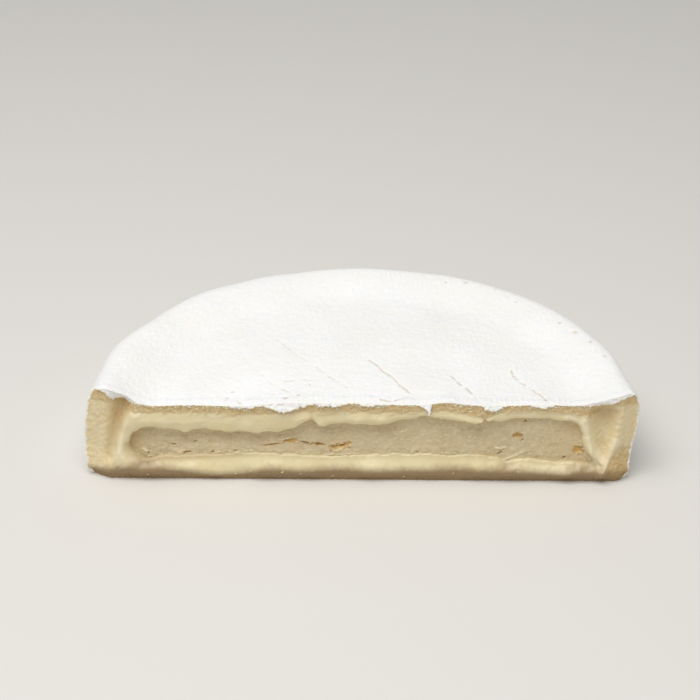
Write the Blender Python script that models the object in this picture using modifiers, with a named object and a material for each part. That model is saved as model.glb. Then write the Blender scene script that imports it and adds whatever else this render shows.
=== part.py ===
"""Half of a round soft cheese with a white bloomy rind, lying flat, its cut side towards -Y.

Lengths are in metres and +Z is up. Two solids make it: the ripened paste with its rind, and the
firm chalky heart that runs through the middle of it. Shapes are worked out round the whole
wheel's axis, and the empty object places them, so that the origin lies on the floor under the
middle of the half wheel.
"""

from math import atan2, cos, exp, hypot, pi, radians, sin, sqrt

import bmesh
import bpy
from mathutils import Matrix, Vector, noise

# The whole wheel
RIM_RADIUS = 0.0943
RIM_LOBES = ((1, -0.0009), (2, 0.0007), (3, 0.0005), (4, -0.0009))
RIM_HEIGHT = 0.0342
DISH_DEPTH = 0.0034
DISH_START = 0.070
SHOULDER_RADIUS = 0.0058
FOOT_RADIUS = 0.0034
SIDE_SWELL = 0.0007
LEAN = 0.0013
ROUND_STEPS = 104
TOP_RINGS = 14
UNDERSIDE_RINGS = 3
EDGE_STEPS = 4
SIDE_STEPS = 5

# Gentle lumps: the sides are even up to this share of the height
LUMP_PITCH = 0.021
SIDE_LUMP_HEIGHT = 0.0007
SIDE_LUMP_START = 0.25
SIDE_LUMP_SEED = 3.1
TOP_LUMP_HEIGHT = 0.00056
TOP_LUMP_SEED = 8.4

# The corners of the cut stand up and flare: where, how high and how far out
EARS = ((-0.0885, 0.0022, 0.0), (0.0900, 0.0008, 0.0015))
EAR_WIDTH = 0.0065
EAR_REACH = 0.012

# Broad sags and rises of the top along the cut: where, how high and how wide
SAGS = ((-0.060, -0.0010, 0.020), (-0.006, 0.0006, 0.016), (0.024, 0.0010, 0.010))
SAG_REACH = 0.020

# Where the wheel's axis stands, seen from the middle of the half wheel
AXIS_PLACE = Vector((0.0009, -0.0454, 0))

# Lines on the cut side, as (x, z) from the wheel's axis and the floor
CREAM_TOP = (
    (-0.090, 0.0272), (-0.056, 0.0268), (-0.039, 0.0260), (-0.017, 0.0275), (0.013, 0.0274),
    (0.030, 0.0284), (0.042, 0.0258), (0.048, 0.0281), (0.068, 0.0282), (0.090, 0.0262),
)
HEART_TOP = (
    (-0.078, 0.0192), (-0.066, 0.0197), (-0.050, 0.0195), (-0.034, 0.0186), (-0.0245, 0.0206),
    (-0.0175, 0.0238), (-0.013, 0.0220), (0.006, 0.0226), (0.020, 0.0254), (0.036, 0.0238),
    (0.060, 0.0253), (0.078, 0.0240),
)
HEART_BOTTOM = (
    (-0.078, 0.0076), (-0.060, 0.0091), (-0.036, 0.0101), (-0.011, 0.0090), (0.027, 0.0099),
    (0.050, 0.0078), (0.078, 0.0068),
)
CREAM_FOOT = 0.0012

# The heart's right end on the cut, as (z, x): nearly upright, and flaring to its foot
HEART_END = (
    (0.0068, 0.0822), (0.0094, 0.0795), (0.0124, 0.0768), (0.0155, 0.0758), (0.0205, 0.0753),
    (0.0240, 0.0735),
)
END_START = 0.058

# The firm heart
HEART_RADIUS = 0.0812
HEART_LOW = 0.0090
HEART_HIGH = 0.0215
HEART_EDGE = 0.0045
LINES_FADE = 0.030
HEART_RINGS = 8
HEART_STEPS = 60
HEART_RECESS = 0.0009
HEART_HOLLOW = 0.0008
GRAIN_HEIGHT = 0.00015
GRAIN_PITCH = 0.006
GRAIN_SEED = 2.3
GAP = 0.0003

# The relief that the knife leaves on the ripened paste
CREAM_SWELL = 0.0018
CREAM_LEFT = 0.0066
CREAM_RIGHT = 0.0046
WALL_RECESS = 0.0012
WALL_RISE = 0.17
CRUMB_HEIGHT = 0.0005
CRUMB_PITCH = 0.0048
CRUMB_SEED = 5.7
FOOT_BOW = 0.0018
FOOT_BOW_HEIGHT = 0.014
CORNER_START = 0.0870
CORNER_RECESS = 0.0030
CORNER_WIDTH = 0.0075
GROOVE_TOP = Vector((-0.0838, 0.0300))
GROOVE_FOOT = Vector((-0.0877, 0.0100))
GROOVE_DEPTH = 0.0030
GROOVE_WIDTH = 0.0026
GROOVE_FADE = 0.6
FOLD_TOP = Vector((0.0834, 0.0300))
FOLD_TIP = Vector((0.0826, 0.0056))
FOLD_WIDTH = 0.0064
FOLD_DEPTH = 0.0042

# The knife
KNIFE_HALF_WIDTH = 0.100
KNIFE_LOW = -0.004
KNIFE_HIGH = 0.042
KNIFE_REACH = 0.110
KNIFE_COLUMNS = 86
KNIFE_ROWS = 31

# Slits and holes in the heart: x, z, length, height, slope
HOLES = (
    (-0.0252, 0.0143, 0.0052, 0.0014, radians(12)),
    (-0.0155, 0.0132, 0.0050, 0.0011, radians(0)),
    (-0.0076, 0.0127, 0.0086, 0.0020, radians(13)),
    (0.0536, 0.0174, 0.0034, 0.0016, radians(-4)),
    (0.0743, 0.0122, 0.0030, 0.0025, radians(0)),
)
HOLE_DEPTH = 0.0030
HOLE_SEGMENTS = 14
HOLE_RINGS = 8

# Colour, roughness, metallic
FINISHES = {
    "ripened_paste": ((0.72, 0.63, 0.42, 1), 0.45, 0.0),
    "firm_heart": ((0.51, 0.41, 0.25, 1), 0.60, 0.0),
}
SHARP_ANGLE = radians(40)


def clear_scene():
    for thing in list(bpy.data.objects):
        bpy.data.objects.remove(thing)


def new_collection(name):
    collection = bpy.data.collections.new(name)
    bpy.context.scene.collection.children.link(collection)
    return collection


def new_material(name):
    colour, roughness, metallic = FINISHES[name]
    material = bpy.data.materials.new(name)
    material.use_nodes = True
    shader = material.node_tree.nodes["Principled BSDF"]
    shader.inputs["Base Color"].default_value = colour
    shader.inputs["Roughness"].default_value = roughness
    shader.inputs["Metallic"].default_value = metallic
    return material


def ease(value):
    """0 below 0, 1 above 1, and a smooth step between them."""
    value = min(max(value, 0.0), 1.0)
    return value * value * (3 - 2 * value)


def bell(distance, width):
    """1 at no distance, falling smoothly to nearly 0 at twice the width."""
    return exp(-((distance / width) ** 2))


def line_height(line, x):
    """Height of a line at x: a smooth curve through its points, level past its ends."""
    if x <= line[0][0]:
        return line[0][1]
    if x >= line[-1][0]:
        return line[-1][1]
    end = next(i for i, point in enumerate(line) if point[0] >= x)
    (x0, z0), (x1, z1) = line[end - 1], line[end]
    before = line[max(end - 2, 0)]
    after = line[min(end + 1, len(line) - 1)]
    slope_0 = (z1 - before[1]) / (x1 - before[0])
    slope_1 = (after[1] - z0) / (after[0] - x0)
    span = x1 - x0
    t = (x - x0) / span
    rise = z0 * (2 * t**3 - 3 * t**2 + 1) + z1 * (3 * t**2 - 2 * t**3)
    return rise + span * (slope_0 * (t**3 - 2 * t**2 + t) + slope_1 * (t**3 - t**2))


def arc(centre_r, centre_z, radius, start, end, steps):
    """Points of an arc in the profile's plane, without its first point."""
    turns = [start + (end - start) * (i + 1) / steps for i in range(steps)]
    return [(centre_r + radius * cos(a), centre_z + radius * sin(a)) for a in turns]


def dished_height(radius):
    """Height of the top at a distance from the axis: level in the middle, rising to the rim."""
    rise = ease((radius - DISH_START) / (RIM_RADIUS - SHOULDER_RADIUS - DISH_START))
    return RIM_HEIGHT - DISH_DEPTH * (1 - rise)


def wheel_profile():
    """Half section of the wheel, from the middle of its top, out, down and back to its axis."""
    top_end = RIM_RADIUS - SHOULDER_RADIUS
    foot_end = RIM_RADIUS - FOOT_RADIUS
    rings = [top_end * i / TOP_RINGS for i in range(TOP_RINGS + 1)]
    points = [(r, dished_height(r)) for r in rings]
    shoulder_z = RIM_HEIGHT - SHOULDER_RADIUS
    points += arc(top_end, shoulder_z, SHOULDER_RADIUS, pi / 2, 0, EDGE_STEPS)
    for i in range(1, SIDE_STEPS + 1):
        share = i / SIDE_STEPS
        z = shoulder_z + (FOOT_RADIUS - shoulder_z) * share
        points.append((RIM_RADIUS + SIDE_SWELL * sin(pi * share), z))
    points += arc(foot_end, FOOT_RADIUS, FOOT_RADIUS, 0, -pi / 2, EDGE_STEPS - 1)
    points += [(foot_end * i / UNDERSIDE_RINGS, 0.0) for i in reversed(range(UNDERSIDE_RINGS))]
    return points


def heart_profile():
    """Half section of the firm heart: a thick disc with a rounded edge."""
    straight = HEART_RADIUS - HEART_EDGE
    middle = (HEART_HIGH + HEART_LOW) / 2
    rings = [straight * i / HEART_RINGS for i in range(HEART_RINGS + 1)]
    points = [(r, HEART_HIGH) for r in rings]
    points += arc(straight, HEART_HIGH - HEART_EDGE, HEART_EDGE, pi / 2, 0, EDGE_STEPS)
    points += [(HEART_RADIUS, middle), (HEART_RADIUS, HEART_LOW + HEART_EDGE)]
    points += arc(straight, HEART_LOW + HEART_EDGE, HEART_EDGE, 0, -pi / 2, EDGE_STEPS)
    points += [(r, HEART_LOW) for r in reversed(rings[:-1])]
    return points


def turned_mesh(name, profile, steps):
    """The mesh of a profile turned round the Z axis with a Screw modifier."""
    mesh = bpy.data.meshes.new(name)
    bm = bmesh.new()
    corners = [bm.verts.new((r, 0, z)) for r, z in profile]
    for a, b in zip(corners, corners[1:]):
        bm.edges.new((a, b))
    bm.to_mesh(mesh)
    bm.free()
    guide = bpy.data.objects.new(name, mesh)
    bpy.context.scene.collection.objects.link(guide)
    screw = guide.modifiers.new("Turn", "SCREW")
    screw.axis = "Z"
    screw.angle = 2 * pi
    screw.steps = steps
    screw.render_steps = steps
    screw.use_merge_vertices = True
    screw.merge_threshold = 0.00001
    graph = bpy.context.evaluated_depsgraph_get()
    turned = bpy.data.meshes.new_from_object(guide.evaluated_get(graph))
    bpy.data.objects.remove(guide)
    return turned


def reshape(mesh, move):
    """Moves every vertex of a mesh to where the function puts it."""
    for vertex in mesh.vertices:
        vertex.co = move(vertex.co.copy())
    mesh.update()


def lump(x, y, z, pitch, seed):
    """Smooth unevenness between about -1 and 1."""
    return 2 * noise.noise(Vector((x / pitch + seed, y / pitch, z / pitch)))


def settled(point):
    """A point of the turned wheel on the real one: lobed, leaning, lumpy, eared at the cut."""
    angle = atan2(point.y, point.x)
    radius = hypot(point.x, point.y)
    share = radius / RIM_RADIUS
    lobes = sum(size * cos(count * angle) for count, size in RIM_LOBES)
    up = point.z / RIM_HEIGHT
    outward = share + share**2 * lobes / RIM_RADIUS
    if radius > 0:
        lumps = SIDE_LUMP_HEIGHT * lump(*point, LUMP_PITCH, SIDE_LUMP_SEED) / RIM_RADIUS
        outward = (outward + ease(up / SIDE_LUMP_START) * lumps) / share
    x = point.x * outward - LEAN * (1 - up)
    y = point.y * outward
    z = point.z + up * TOP_LUMP_HEIGHT * lump(*point, LUMP_PITCH, TOP_LUMP_SEED)
    for place, rise, flare in EARS:
        near = bell(x - place, EAR_WIDTH) * bell(y, EAR_REACH)
        x += up * near * flare
        z += up * near * rise
    for place, rise, width in SAGS:
        z += up * rise * bell(x - place, width) * bell(y, SAG_REACH)
    return Vector((x, y, z if point.z > 0 else 0.0))


def heart_shaped(point):
    """A point of the turned heart, with the outline that the cut shows near the cut."""
    near = bell(point.y, LINES_FADE)
    share = (point.z - HEART_LOW) / (HEART_HIGH - HEART_LOW)
    low = line_height(HEART_BOTTOM, point.x)
    high = line_height(HEART_TOP, point.x)
    shown = low + (high - low) * share
    shift = line_height(HEART_END, shown) - HEART_RADIUS
    shift *= ease((point.x - END_START) / (HEART_RADIUS - END_START))
    return Vector((point.x + shift * near, point.y, point.z + (shown - point.z) * near))


def groove_depth(x, z):
    """Depth of the left end's slanting groove at a point of the cut."""
    place = Vector((x, z))
    run = GROOVE_FOOT - GROOVE_TOP
    share = min(max((place - GROOVE_TOP).dot(run) / run.length_squared, 0.0), 1.0)
    distance = (place - GROOVE_TOP - run * share).length
    return GROOVE_DEPTH * bell(distance, GROOVE_WIDTH) * (1 - GROOVE_FADE * share)


def fold_depth(x, z):
    """Depth of the right end's fold at a point of the cut: wide above, with its tip below."""
    drop = (FOLD_TOP.y - z) / (FOLD_TOP.y - FOLD_TIP.y)
    if drop >= 1:
        return 0.0
    width = FOLD_WIDTH * sqrt(1 - max(drop, 0.0))
    across = (x - FOLD_TOP.x - (FOLD_TIP.x - FOLD_TOP.x) * drop) / width
    rim = ease((FOLD_TOP.y + FOLD_WIDTH / 2 - z) / FOLD_WIDTH)
    return FOLD_DEPTH * max(1 - across**2, 0.0) * rim


def paste_cut(x, z):
    """How far the cut side of the ripened paste lies behind the knife's plane at (x, z)."""
    high = line_height(HEART_TOP, x)
    low = line_height(HEART_BOTTOM, x)
    beside = (x - line_height(HEART_END, z)) / CREAM_RIGHT
    beside = max(beside, (-HEART_RADIUS - x) / CREAM_LEFT, 0.0)
    above = max((z - high) / (line_height(CREAM_TOP, x) - high), 0.0)
    below = max((low - z) / (low - CREAM_FOOT), 0.0)
    away = hypot(beside, above + below)
    if away < 1:
        behind = -CREAM_SWELL * sqrt(1 - (2 * away - 1) ** 2)
    else:
        crumbs = CRUMB_HEIGHT * lump(x, z, 0, CRUMB_PITCH, CRUMB_SEED)
        behind = (WALL_RECESS + crumbs) * ease((away - 1) / WALL_RISE)
    behind -= FOOT_BOW * (1 - ease(z / FOOT_BOW_HEIGHT))
    behind += CORNER_RECESS * ease((abs(x) - CORNER_START) / CORNER_WIDTH)
    return behind + groove_depth(x, z) + fold_depth(x, z)


def heart_cut(x, z):
    """How far the cut side of the heart lies behind the knife's plane: deepest under the cream."""
    share = (z - line_height(HEART_BOTTOM, x)) / (HEART_HIGH - HEART_LOW)
    grain = GRAIN_HEIGHT * lump(x, z, 0, GRAIN_PITCH, GRAIN_SEED)
    return HEART_RECESS + HEART_HOLLOW * ease(share) + grain


def knife_mesh(name, relief):
    """A block in front of the cut side, whose back face is the relief turned round."""
    bm = bmesh.new()
    upright = Matrix.Rotation(pi / 2, 4, "X")
    middle = (KNIFE_LOW + KNIFE_HIGH) / 2
    size = Vector((KNIFE_HALF_WIDTH, (KNIFE_HIGH - KNIFE_LOW) / 2, 1))
    bmesh.ops.create_grid(bm, x_segments=KNIFE_COLUMNS, y_segments=KNIFE_ROWS, size=1)
    bmesh.ops.scale(bm, vec=size, verts=bm.verts)
    bmesh.ops.transform(bm, matrix=Matrix.Translation((0, 0, middle)) @ upright, verts=bm.verts)
    back = list(bm.verts)
    front = bmesh.ops.extrude_face_region(bm, geom=list(bm.faces), use_keep_orig=True)
    moved = [item for item in front["geom"] if isinstance(item, bmesh.types.BMVert)]
    bmesh.ops.translate(bm, vec=(0, -KNIFE_REACH, 0), verts=moved)
    for vertex in back:
        vertex.co.y = relief(vertex.co.x, max(vertex.co.z, 0.0))
    bmesh.ops.recalc_face_normals(bm, faces=bm.faces)
    mesh = bpy.data.meshes.new(name)
    bm.to_mesh(mesh)
    bm.free()
    return mesh


def holes_mesh(name):
    """Flat rounded bodies, one for each slit or hole of the heart."""
    bm = bmesh.new()
    for x, z, length, height, slope in HOLES:
        place = Matrix.Translation((x, HEART_RECESS, z)) @ Matrix.Rotation(-slope, 4, "Y")
        form = place @ Matrix.Diagonal((length / 2, HOLE_DEPTH, height / 2, 1))
        bmesh.ops.create_uvsphere(
            bm, u_segments=HOLE_SEGMENTS, v_segments=HOLE_RINGS, radius=1, matrix=form
        )
    mesh = bpy.data.meshes.new(name)
    bm.to_mesh(mesh)
    bm.free()
    return mesh


def grown(mesh, name, distance):
    """A copy of a mesh with every vertex moved outwards."""
    copy = mesh.copy()
    copy.name = name
    normals = [vertex.normal.copy() for vertex in mesh.vertices]
    for vertex, normal in zip(copy.vertices, normals):
        vertex.co += normal * distance
    return copy


def add_object(name, mesh, collection, root):
    thing = bpy.data.objects.new(name, mesh)
    thing.parent = root
    collection.objects.link(thing)
    return thing


def add_cutter(name, mesh, collection, root):
    cutter = add_object(name, mesh, collection, root)
    cutter.hide_render = True
    cutter.display_type = "WIRE"
    return cutter


def cut_away(thing, *cutters):
    for cutter in cutters:
        cut = thing.modifiers.new(cutter.name, "BOOLEAN")
        cut.operation = "DIFFERENCE"
        cut.solver = "EXACT"
        cut.object = cutter


def finish(thing, material_name):
    thing.data.materials.clear()
    thing.data.materials.append(new_material(material_name))
    thing.data.shade_smooth()
    thing.data.set_sharp_from_angle(angle=SHARP_ANGLE)


def main():
    clear_scene()
    parts = new_collection("half_wheel_of_soft_cheese")
    cutters = new_collection("cutters")
    root = bpy.data.objects.new("wheel_axis", None)
    root.location = AXIS_PLACE
    parts.objects.link(root)

    wheel = turned_mesh("paste", wheel_profile(), ROUND_STEPS)
    reshape(wheel, settled)
    heart_body = turned_mesh("heart", heart_profile(), HEART_STEPS)
    reshape(heart_body, heart_shaped)
    pocket_body = grown(heart_body, "pocket", GAP)

    paste = add_object("paste", wheel, parts, root)
    heart = add_object("heart", heart_body, parts, root)
    pocket = add_cutter("pocket", pocket_body, cutters, root)
    paste_knife = add_cutter("paste_knife", knife_mesh("paste_knife", paste_cut), cutters, root)
    heart_knife = add_cutter("heart_knife", knife_mesh("heart_knife", heart_cut), cutters, root)
    holes = add_cutter("holes", holes_mesh("holes"), cutters, root)

    cut_away(paste, pocket, paste_knife)
    cut_away(heart, heart_knife, holes)
    finish(paste, "ripened_paste")
    finish(heart, "firm_heart")


main()
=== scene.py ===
"""Half of a wheel of brie on a plain pale floor, cut side to the viewer.

Lengths are in metres and +Z is up. Shapes are worked out in the wheel's own frame, whose axis
stands in the plane of the cut, and are then moved to where the frame has the half wheel.
"""

from math import atan2, cos, exp, hypot, pi, radians, sin, sqrt
from random import Random

import bmesh
import bpy
from mathutils import Matrix, Vector, noise


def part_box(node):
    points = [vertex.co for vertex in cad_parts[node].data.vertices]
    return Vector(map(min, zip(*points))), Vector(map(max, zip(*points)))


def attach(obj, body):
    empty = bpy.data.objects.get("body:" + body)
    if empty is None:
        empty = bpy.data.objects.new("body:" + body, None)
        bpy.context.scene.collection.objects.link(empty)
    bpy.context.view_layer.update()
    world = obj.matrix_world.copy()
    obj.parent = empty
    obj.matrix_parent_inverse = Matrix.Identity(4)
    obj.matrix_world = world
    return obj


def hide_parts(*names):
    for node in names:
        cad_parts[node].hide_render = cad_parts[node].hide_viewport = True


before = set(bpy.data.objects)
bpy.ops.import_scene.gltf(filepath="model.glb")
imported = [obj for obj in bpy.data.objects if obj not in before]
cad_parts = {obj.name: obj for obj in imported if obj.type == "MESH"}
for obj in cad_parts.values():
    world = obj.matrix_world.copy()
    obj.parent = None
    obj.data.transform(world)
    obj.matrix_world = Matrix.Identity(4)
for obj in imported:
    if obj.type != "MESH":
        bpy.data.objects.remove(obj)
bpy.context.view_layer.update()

# The wheel, as the frame has it
RIM_RADIUS = 0.0943
RIM_LOBES = ((1, -0.0009), (2, 0.0007), (3, 0.0005), (4, -0.0009))
RIM_HEIGHT = 0.0342
DISH_DEPTH = 0.0034
DISH_START = 0.070
SHOULDER_RADIUS = 0.0058
FOOT_RADIUS = 0.0034
SIDE_SWELL = 0.0007
LEAN = 0.0013
LUMP_HEIGHT = 0.0007
LUMP_START = 0.25
TOP_LUMP_SHARE = 0.8

# The corners of the cut stand up and flare: where, how high and how far out
EARS = ((-0.0885, 0.0022, 0.0), (0.0900, 0.0008, 0.0015))
EAR_WIDTH = 0.0065
EAR_REACH = 0.012

# Rises and sags of the top along the cut: where, how high, how wide
SAGS = (
    (-0.060, -0.0010, 0.020), (-0.006, 0.0006, 0.016), (0.024, 0.0010, 0.010),
    (0.0285, 0.0008, 0.0045),
)
SAG_REACH = 0.020

# How far the wheel's axis stands from the right side of the paste and from its back
PASTE_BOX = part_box("paste")
AXIS_TO_BACK = 0.09415
AXIS_TO_RIGHT = 0.09459
AXIS_PLACE = Vector((PASTE_BOX[1].x - AXIS_TO_RIGHT, PASTE_BOX[1].y - AXIS_TO_BACK, PASTE_BOX[0].z))

# Lines on the cut side, as (x, z) from the wheel's axis and the floor
CREAM_TOP = (
    (-0.090, 0.0272), (-0.073, 0.0270), (-0.056, 0.0273), (-0.039, 0.0265), (-0.0174, 0.0280),
    (0.013, 0.0278), (0.023, 0.0287), (0.030, 0.0283), (0.037, 0.0271), (0.042, 0.0259),
    (0.047, 0.0280), (0.058, 0.0285), (0.068, 0.0282), (0.076, 0.0268), (0.090, 0.0262),
)
HEART_TOP = (
    (-0.078, 0.0201), (-0.0733, 0.0205), (-0.0665, 0.0197), (-0.0613, 0.0186), (-0.0578, 0.0198),
    (-0.0492, 0.0195), (-0.0389, 0.0187), (-0.0302, 0.0188), (-0.0257, 0.0201), (-0.0215, 0.0222),
    (-0.0174, 0.0238), (-0.0147, 0.0218), (-0.0078, 0.0227), (0.0008, 0.0223), (0.0094, 0.0228),
    (0.0135, 0.0241), (0.0175, 0.0253), (0.0231, 0.0254), (0.0317, 0.0242), (0.0386, 0.0234),
    (0.0437, 0.0247), (0.0472, 0.0239), (0.0523, 0.0248), (0.0609, 0.0253), (0.0700, 0.0247),
)
HEART_BOTTOM = (
    (-0.0791, 0.0085), (-0.0757, 0.0074), (-0.0704, 0.0085), (-0.0565, 0.0091), (-0.0356, 0.0101),
    (-0.0217, 0.0093), (-0.0113, 0.0090), (0.0130, 0.0100), (0.0269, 0.0097), (0.0408, 0.0099),
    (0.0460, 0.0091), (0.0495, 0.0076), (0.0547, 0.0083), (0.0686, 0.0072), (0.0791, 0.0068),
)
CREAM_FOOT = 0.0012

# Where the tan crust begins: it reaches down at both ends, and shows again at the foot
CRUST_BLEND = 0.0020
CRUST_RAG = 0.0005
CRUST_DROP = 0.004
CRUST_DROP_START = 0.080
CRUST_DROP_WIDTH = 0.006
CRUST_FOOT = 0.0024
CRUST_FOOT_BLEND = 0.0016

# How high the dark foot reaches along the cut, as (x, z): the rind's crust at the bottom, darkened
# with painted shade
FOOT_LINE = (
    (-0.0930, 0.0036), (-0.0830, 0.0062), (-0.0750, 0.0070), (-0.0665, 0.0056), (-0.0580, 0.0037),
    (-0.0480, 0.0029), (-0.0400, 0.0038), (-0.0330, 0.0060), (-0.0246, 0.0051), (-0.0078, 0.0059),
    (0.0090, 0.0050), (0.0340, 0.0061), (0.0425, 0.0058), (0.0510, 0.0063), (0.0590, 0.0050),
    (0.0680, 0.0048), (0.0760, 0.0063), (0.0850, 0.0056), (0.0920, 0.0046),
)
FOOT_BLEND = 0.0040

# Painted shade in the hollows and at the rough corner, and the darker seam under the heart: the share
# at the start, its change, where the change starts and over what length it takes place, downwards or
# to the left
FOLD_SHADES = (0.8, -0.65, 0.0275, 0.0090)
FOLD_TOP_SHADES = (0.35, 0.65, 0.0300, 0.0030)
ROUGH_SHADE = 0.55
ROUGH_SHADE_REACH = 0.0055
SEAM_WIDTH = 0.0013
SEAM_SHADES = (0.45, 0.55, -0.030, 0.018)
# Ridge height at which the painted highlight on the cream ridges is full
RIDGE_HIGHLIGHT_FULL = 0.0008

# The firm heart
HEART_RADIUS = 0.0812
HEART_LOW = 0.0090
HEART_HIGH = 0.0215
HEART_MIDDLE = 0.0145
HEART_BLEND = 0.0050
LEFT_EDGES = (0.0050, 0.0066)
LEFT_EDGE_START = 0.0085
LEFT_EDGE_RISE = 0.0110
RIGHT_EDGE = 0.0034
HIDDEN_EDGE = 0.0024
HEART_GROWN = 0.0006
HEART_END = (
    (0.0068, 0.0822), (0.0094, 0.0795), (0.0124, 0.0768), (0.0155, 0.0758), (0.0205, 0.0753),
    (0.0240, 0.0735),
)
HEART_SLANT = 0.0080
SLANT_START = 0.058
LINES_FADE = 0.030
HEART_RECESS = 0.0003
HEART_HOLLOW = 0.0021
HOLLOW_FADE = 0.55
GRAIN_HEIGHT = 0.00018
HEART_WAVE = 0.00030
HOLLOW_START = -0.020
HOLLOW_WIDTH = 0.045
CRESCENT_DEPTH = 0.0016
CRESCENT_WIDTH = 0.0046

# A rougher patch low at the heart's left end
PATCH_X = -0.069
PATCH_Z = 0.0105
PATCH_WIDTH = 0.009
PATCH_HEIGHT = 0.003
PATCH_GAIN = 1.8

# The heart's colour turns to cream at its rim, and darker and yellower towards both ends: ripening
# towards the right end, painted shade in the recessed crescent at the left end
RIM_SHARE = 0.125
RIM_END = 0.0765
RIM_END_WIDTH = 0.0030
RIPE_START = 0.060
RIPE_WIDTH = 0.014
RIPE_SHARE = 0.6

# The relief that the knife leaves on the ripened paste
CREAM_SWELL = 0.0015
UPPER_CREST = 0.52
LOWER_CREST = 0.50
CREAM_WOBBLE = 0.00035
RIPPLE_SHARE = 0.4
BAND_END = 1.1
SWELL_WAVE = 0.35
SWELL_RIPPLE = 0.12
CREAM_LEFT = 0.0066
CREAM_RIGHT = 0.0050

# How strongly the upper cream band swells along the cut, as (x, share)
BAND_SWELL = ((-0.090, 1.0), (0.046, 1.0), (0.060, 0.5), (0.072, 0.5))

# The paste towards the rind, and its rough lower right corner
WALL_RECESS = -0.0010
WALL_START = 0.6
WALL_RISE = 2.5
SIDE_START = 0.8
SIDE_RISE = 3
ROUGH_CORNER = Vector((0.0890, 0.0060))
ROUGH_REACH = 0.0080
ROUGH_GAIN = 0.5
CRUMB_HEIGHT = 0.00022

# The foot bows out and tucks in again, and both ends fall back
FOOT_BOW = 0.0020
FOOT_BOW_HEIGHT = 0.014
FOOT_TUCK = 0.0019
FOOT_TUCK_HEIGHT = 0.0050
CORNER_START = 0.0870
CORNER_RECESS = 0.0028
CORNER_WIDTH = 0.0075

# The groove at the left end and the fold at the right end
GROOVE_TOP = Vector((-0.0828, 0.0302))
GROOVE_FOOT = Vector((-0.0879, 0.0090))
GROOVE_DEPTH = 0.0044
GROOVE_WIDTH = 0.0032
GROOVE_NARROWS = 0.5
GROOVE_SHALLOWS = 0.65
FOLD_TOP = Vector((0.0834, 0.0300))
FOLD_TIP = Vector((0.0826, 0.0056))
FOLD_WIDTH = 0.0064
FOLD_DEPTH = 0.0042
FOLD_SHALLOWS = 0.65
FOLD_SOFTENS = 1.7

# The pocket that the heart fills
POCKET_DEPTH = 0.0044
POCKET_WALL = 0.0010

# Notches in the upper cream band: where, how wide and how deep
NOTCH_START = -0.1
NOTCH_FADE = 1.2
NOTCHES = ((-0.0174, 0.0008, 0.0009), (0.0420, 0.0006, 0.0026), (0.0350, 0.0012, 0.0004))

# Smooth ridges of cream at both ends: ends and height
RIDGES = (
    (Vector((-0.0775, 0.0262)), Vector((-0.0815, 0.0236)), 0.0004),
    (Vector((-0.0815, 0.0236)), Vector((-0.0836, 0.0175)), 0.0007),
    (Vector((-0.0836, 0.0175)), Vector((-0.0843, 0.0110)), 0.0008),
    (Vector((-0.0843, 0.0110)), Vector((-0.0826, 0.0056)), 0.0005),
    (Vector((0.0700, 0.0262)), Vector((0.0758, 0.0246)), 0.0006),
    (Vector((0.0758, 0.0246)), Vector((0.0776, 0.0180)), 0.0013),
    (Vector((0.0776, 0.0180)), Vector((0.0793, 0.0128)), 0.0017),
    (Vector((0.0793, 0.0128)), Vector((0.0830, 0.0080)), 0.0016),
    (Vector((0.0872, 0.0160)), Vector((0.0838, 0.0080)), 0.0009),
    (Vector((0.0833, 0.0080)), Vector((0.0826, 0.0034)), 0.0013),
)
RIDGE_WIDTH = 0.0015

# The white rind's ragged lower edge on the cut, as (x, z)
RIND_EDGE = (
    (-0.0907, 0.0354), (-0.0886, 0.0352), (-0.0857, 0.0321), (-0.0820, 0.0308), (-0.0780, 0.0304),
    (-0.0740, 0.0304), (-0.0640, 0.0306), (-0.0480, 0.0304), (-0.0428, 0.0290), (-0.0386, 0.0292),
    (-0.0345, 0.0300), (-0.0266, 0.0281), (-0.0215, 0.0298), (-0.0163, 0.0307), (-0.0112, 0.0300),
    (-0.0036, 0.0312), (0.0008, 0.0304), (0.0128, 0.0310), (0.0200, 0.0303), (0.0220, 0.0288),
    (0.0231, 0.0272), (0.0235, 0.0291), (0.0240, 0.0320), (0.0265, 0.0328), (0.0330, 0.0320),
    (0.0401, 0.0305), (0.0443, 0.0288), (0.0487, 0.0304), (0.0555, 0.0309), (0.0624, 0.0301),
    (0.0675, 0.0311), (0.0760, 0.0309), (0.0800, 0.0305), (0.0844, 0.0315), (0.0884, 0.0331),
    (0.0918, 0.0340),
)
LIP_LEAST = 0.0001
LIP_RAG = 0.00035
LIP_FRINGE = 0.00030
LIP_STANDS = 0.0003
LIP_SLOPE = 0.45
LIP_BLEND = 0.0004
TOP_REACH = 0.005

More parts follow.
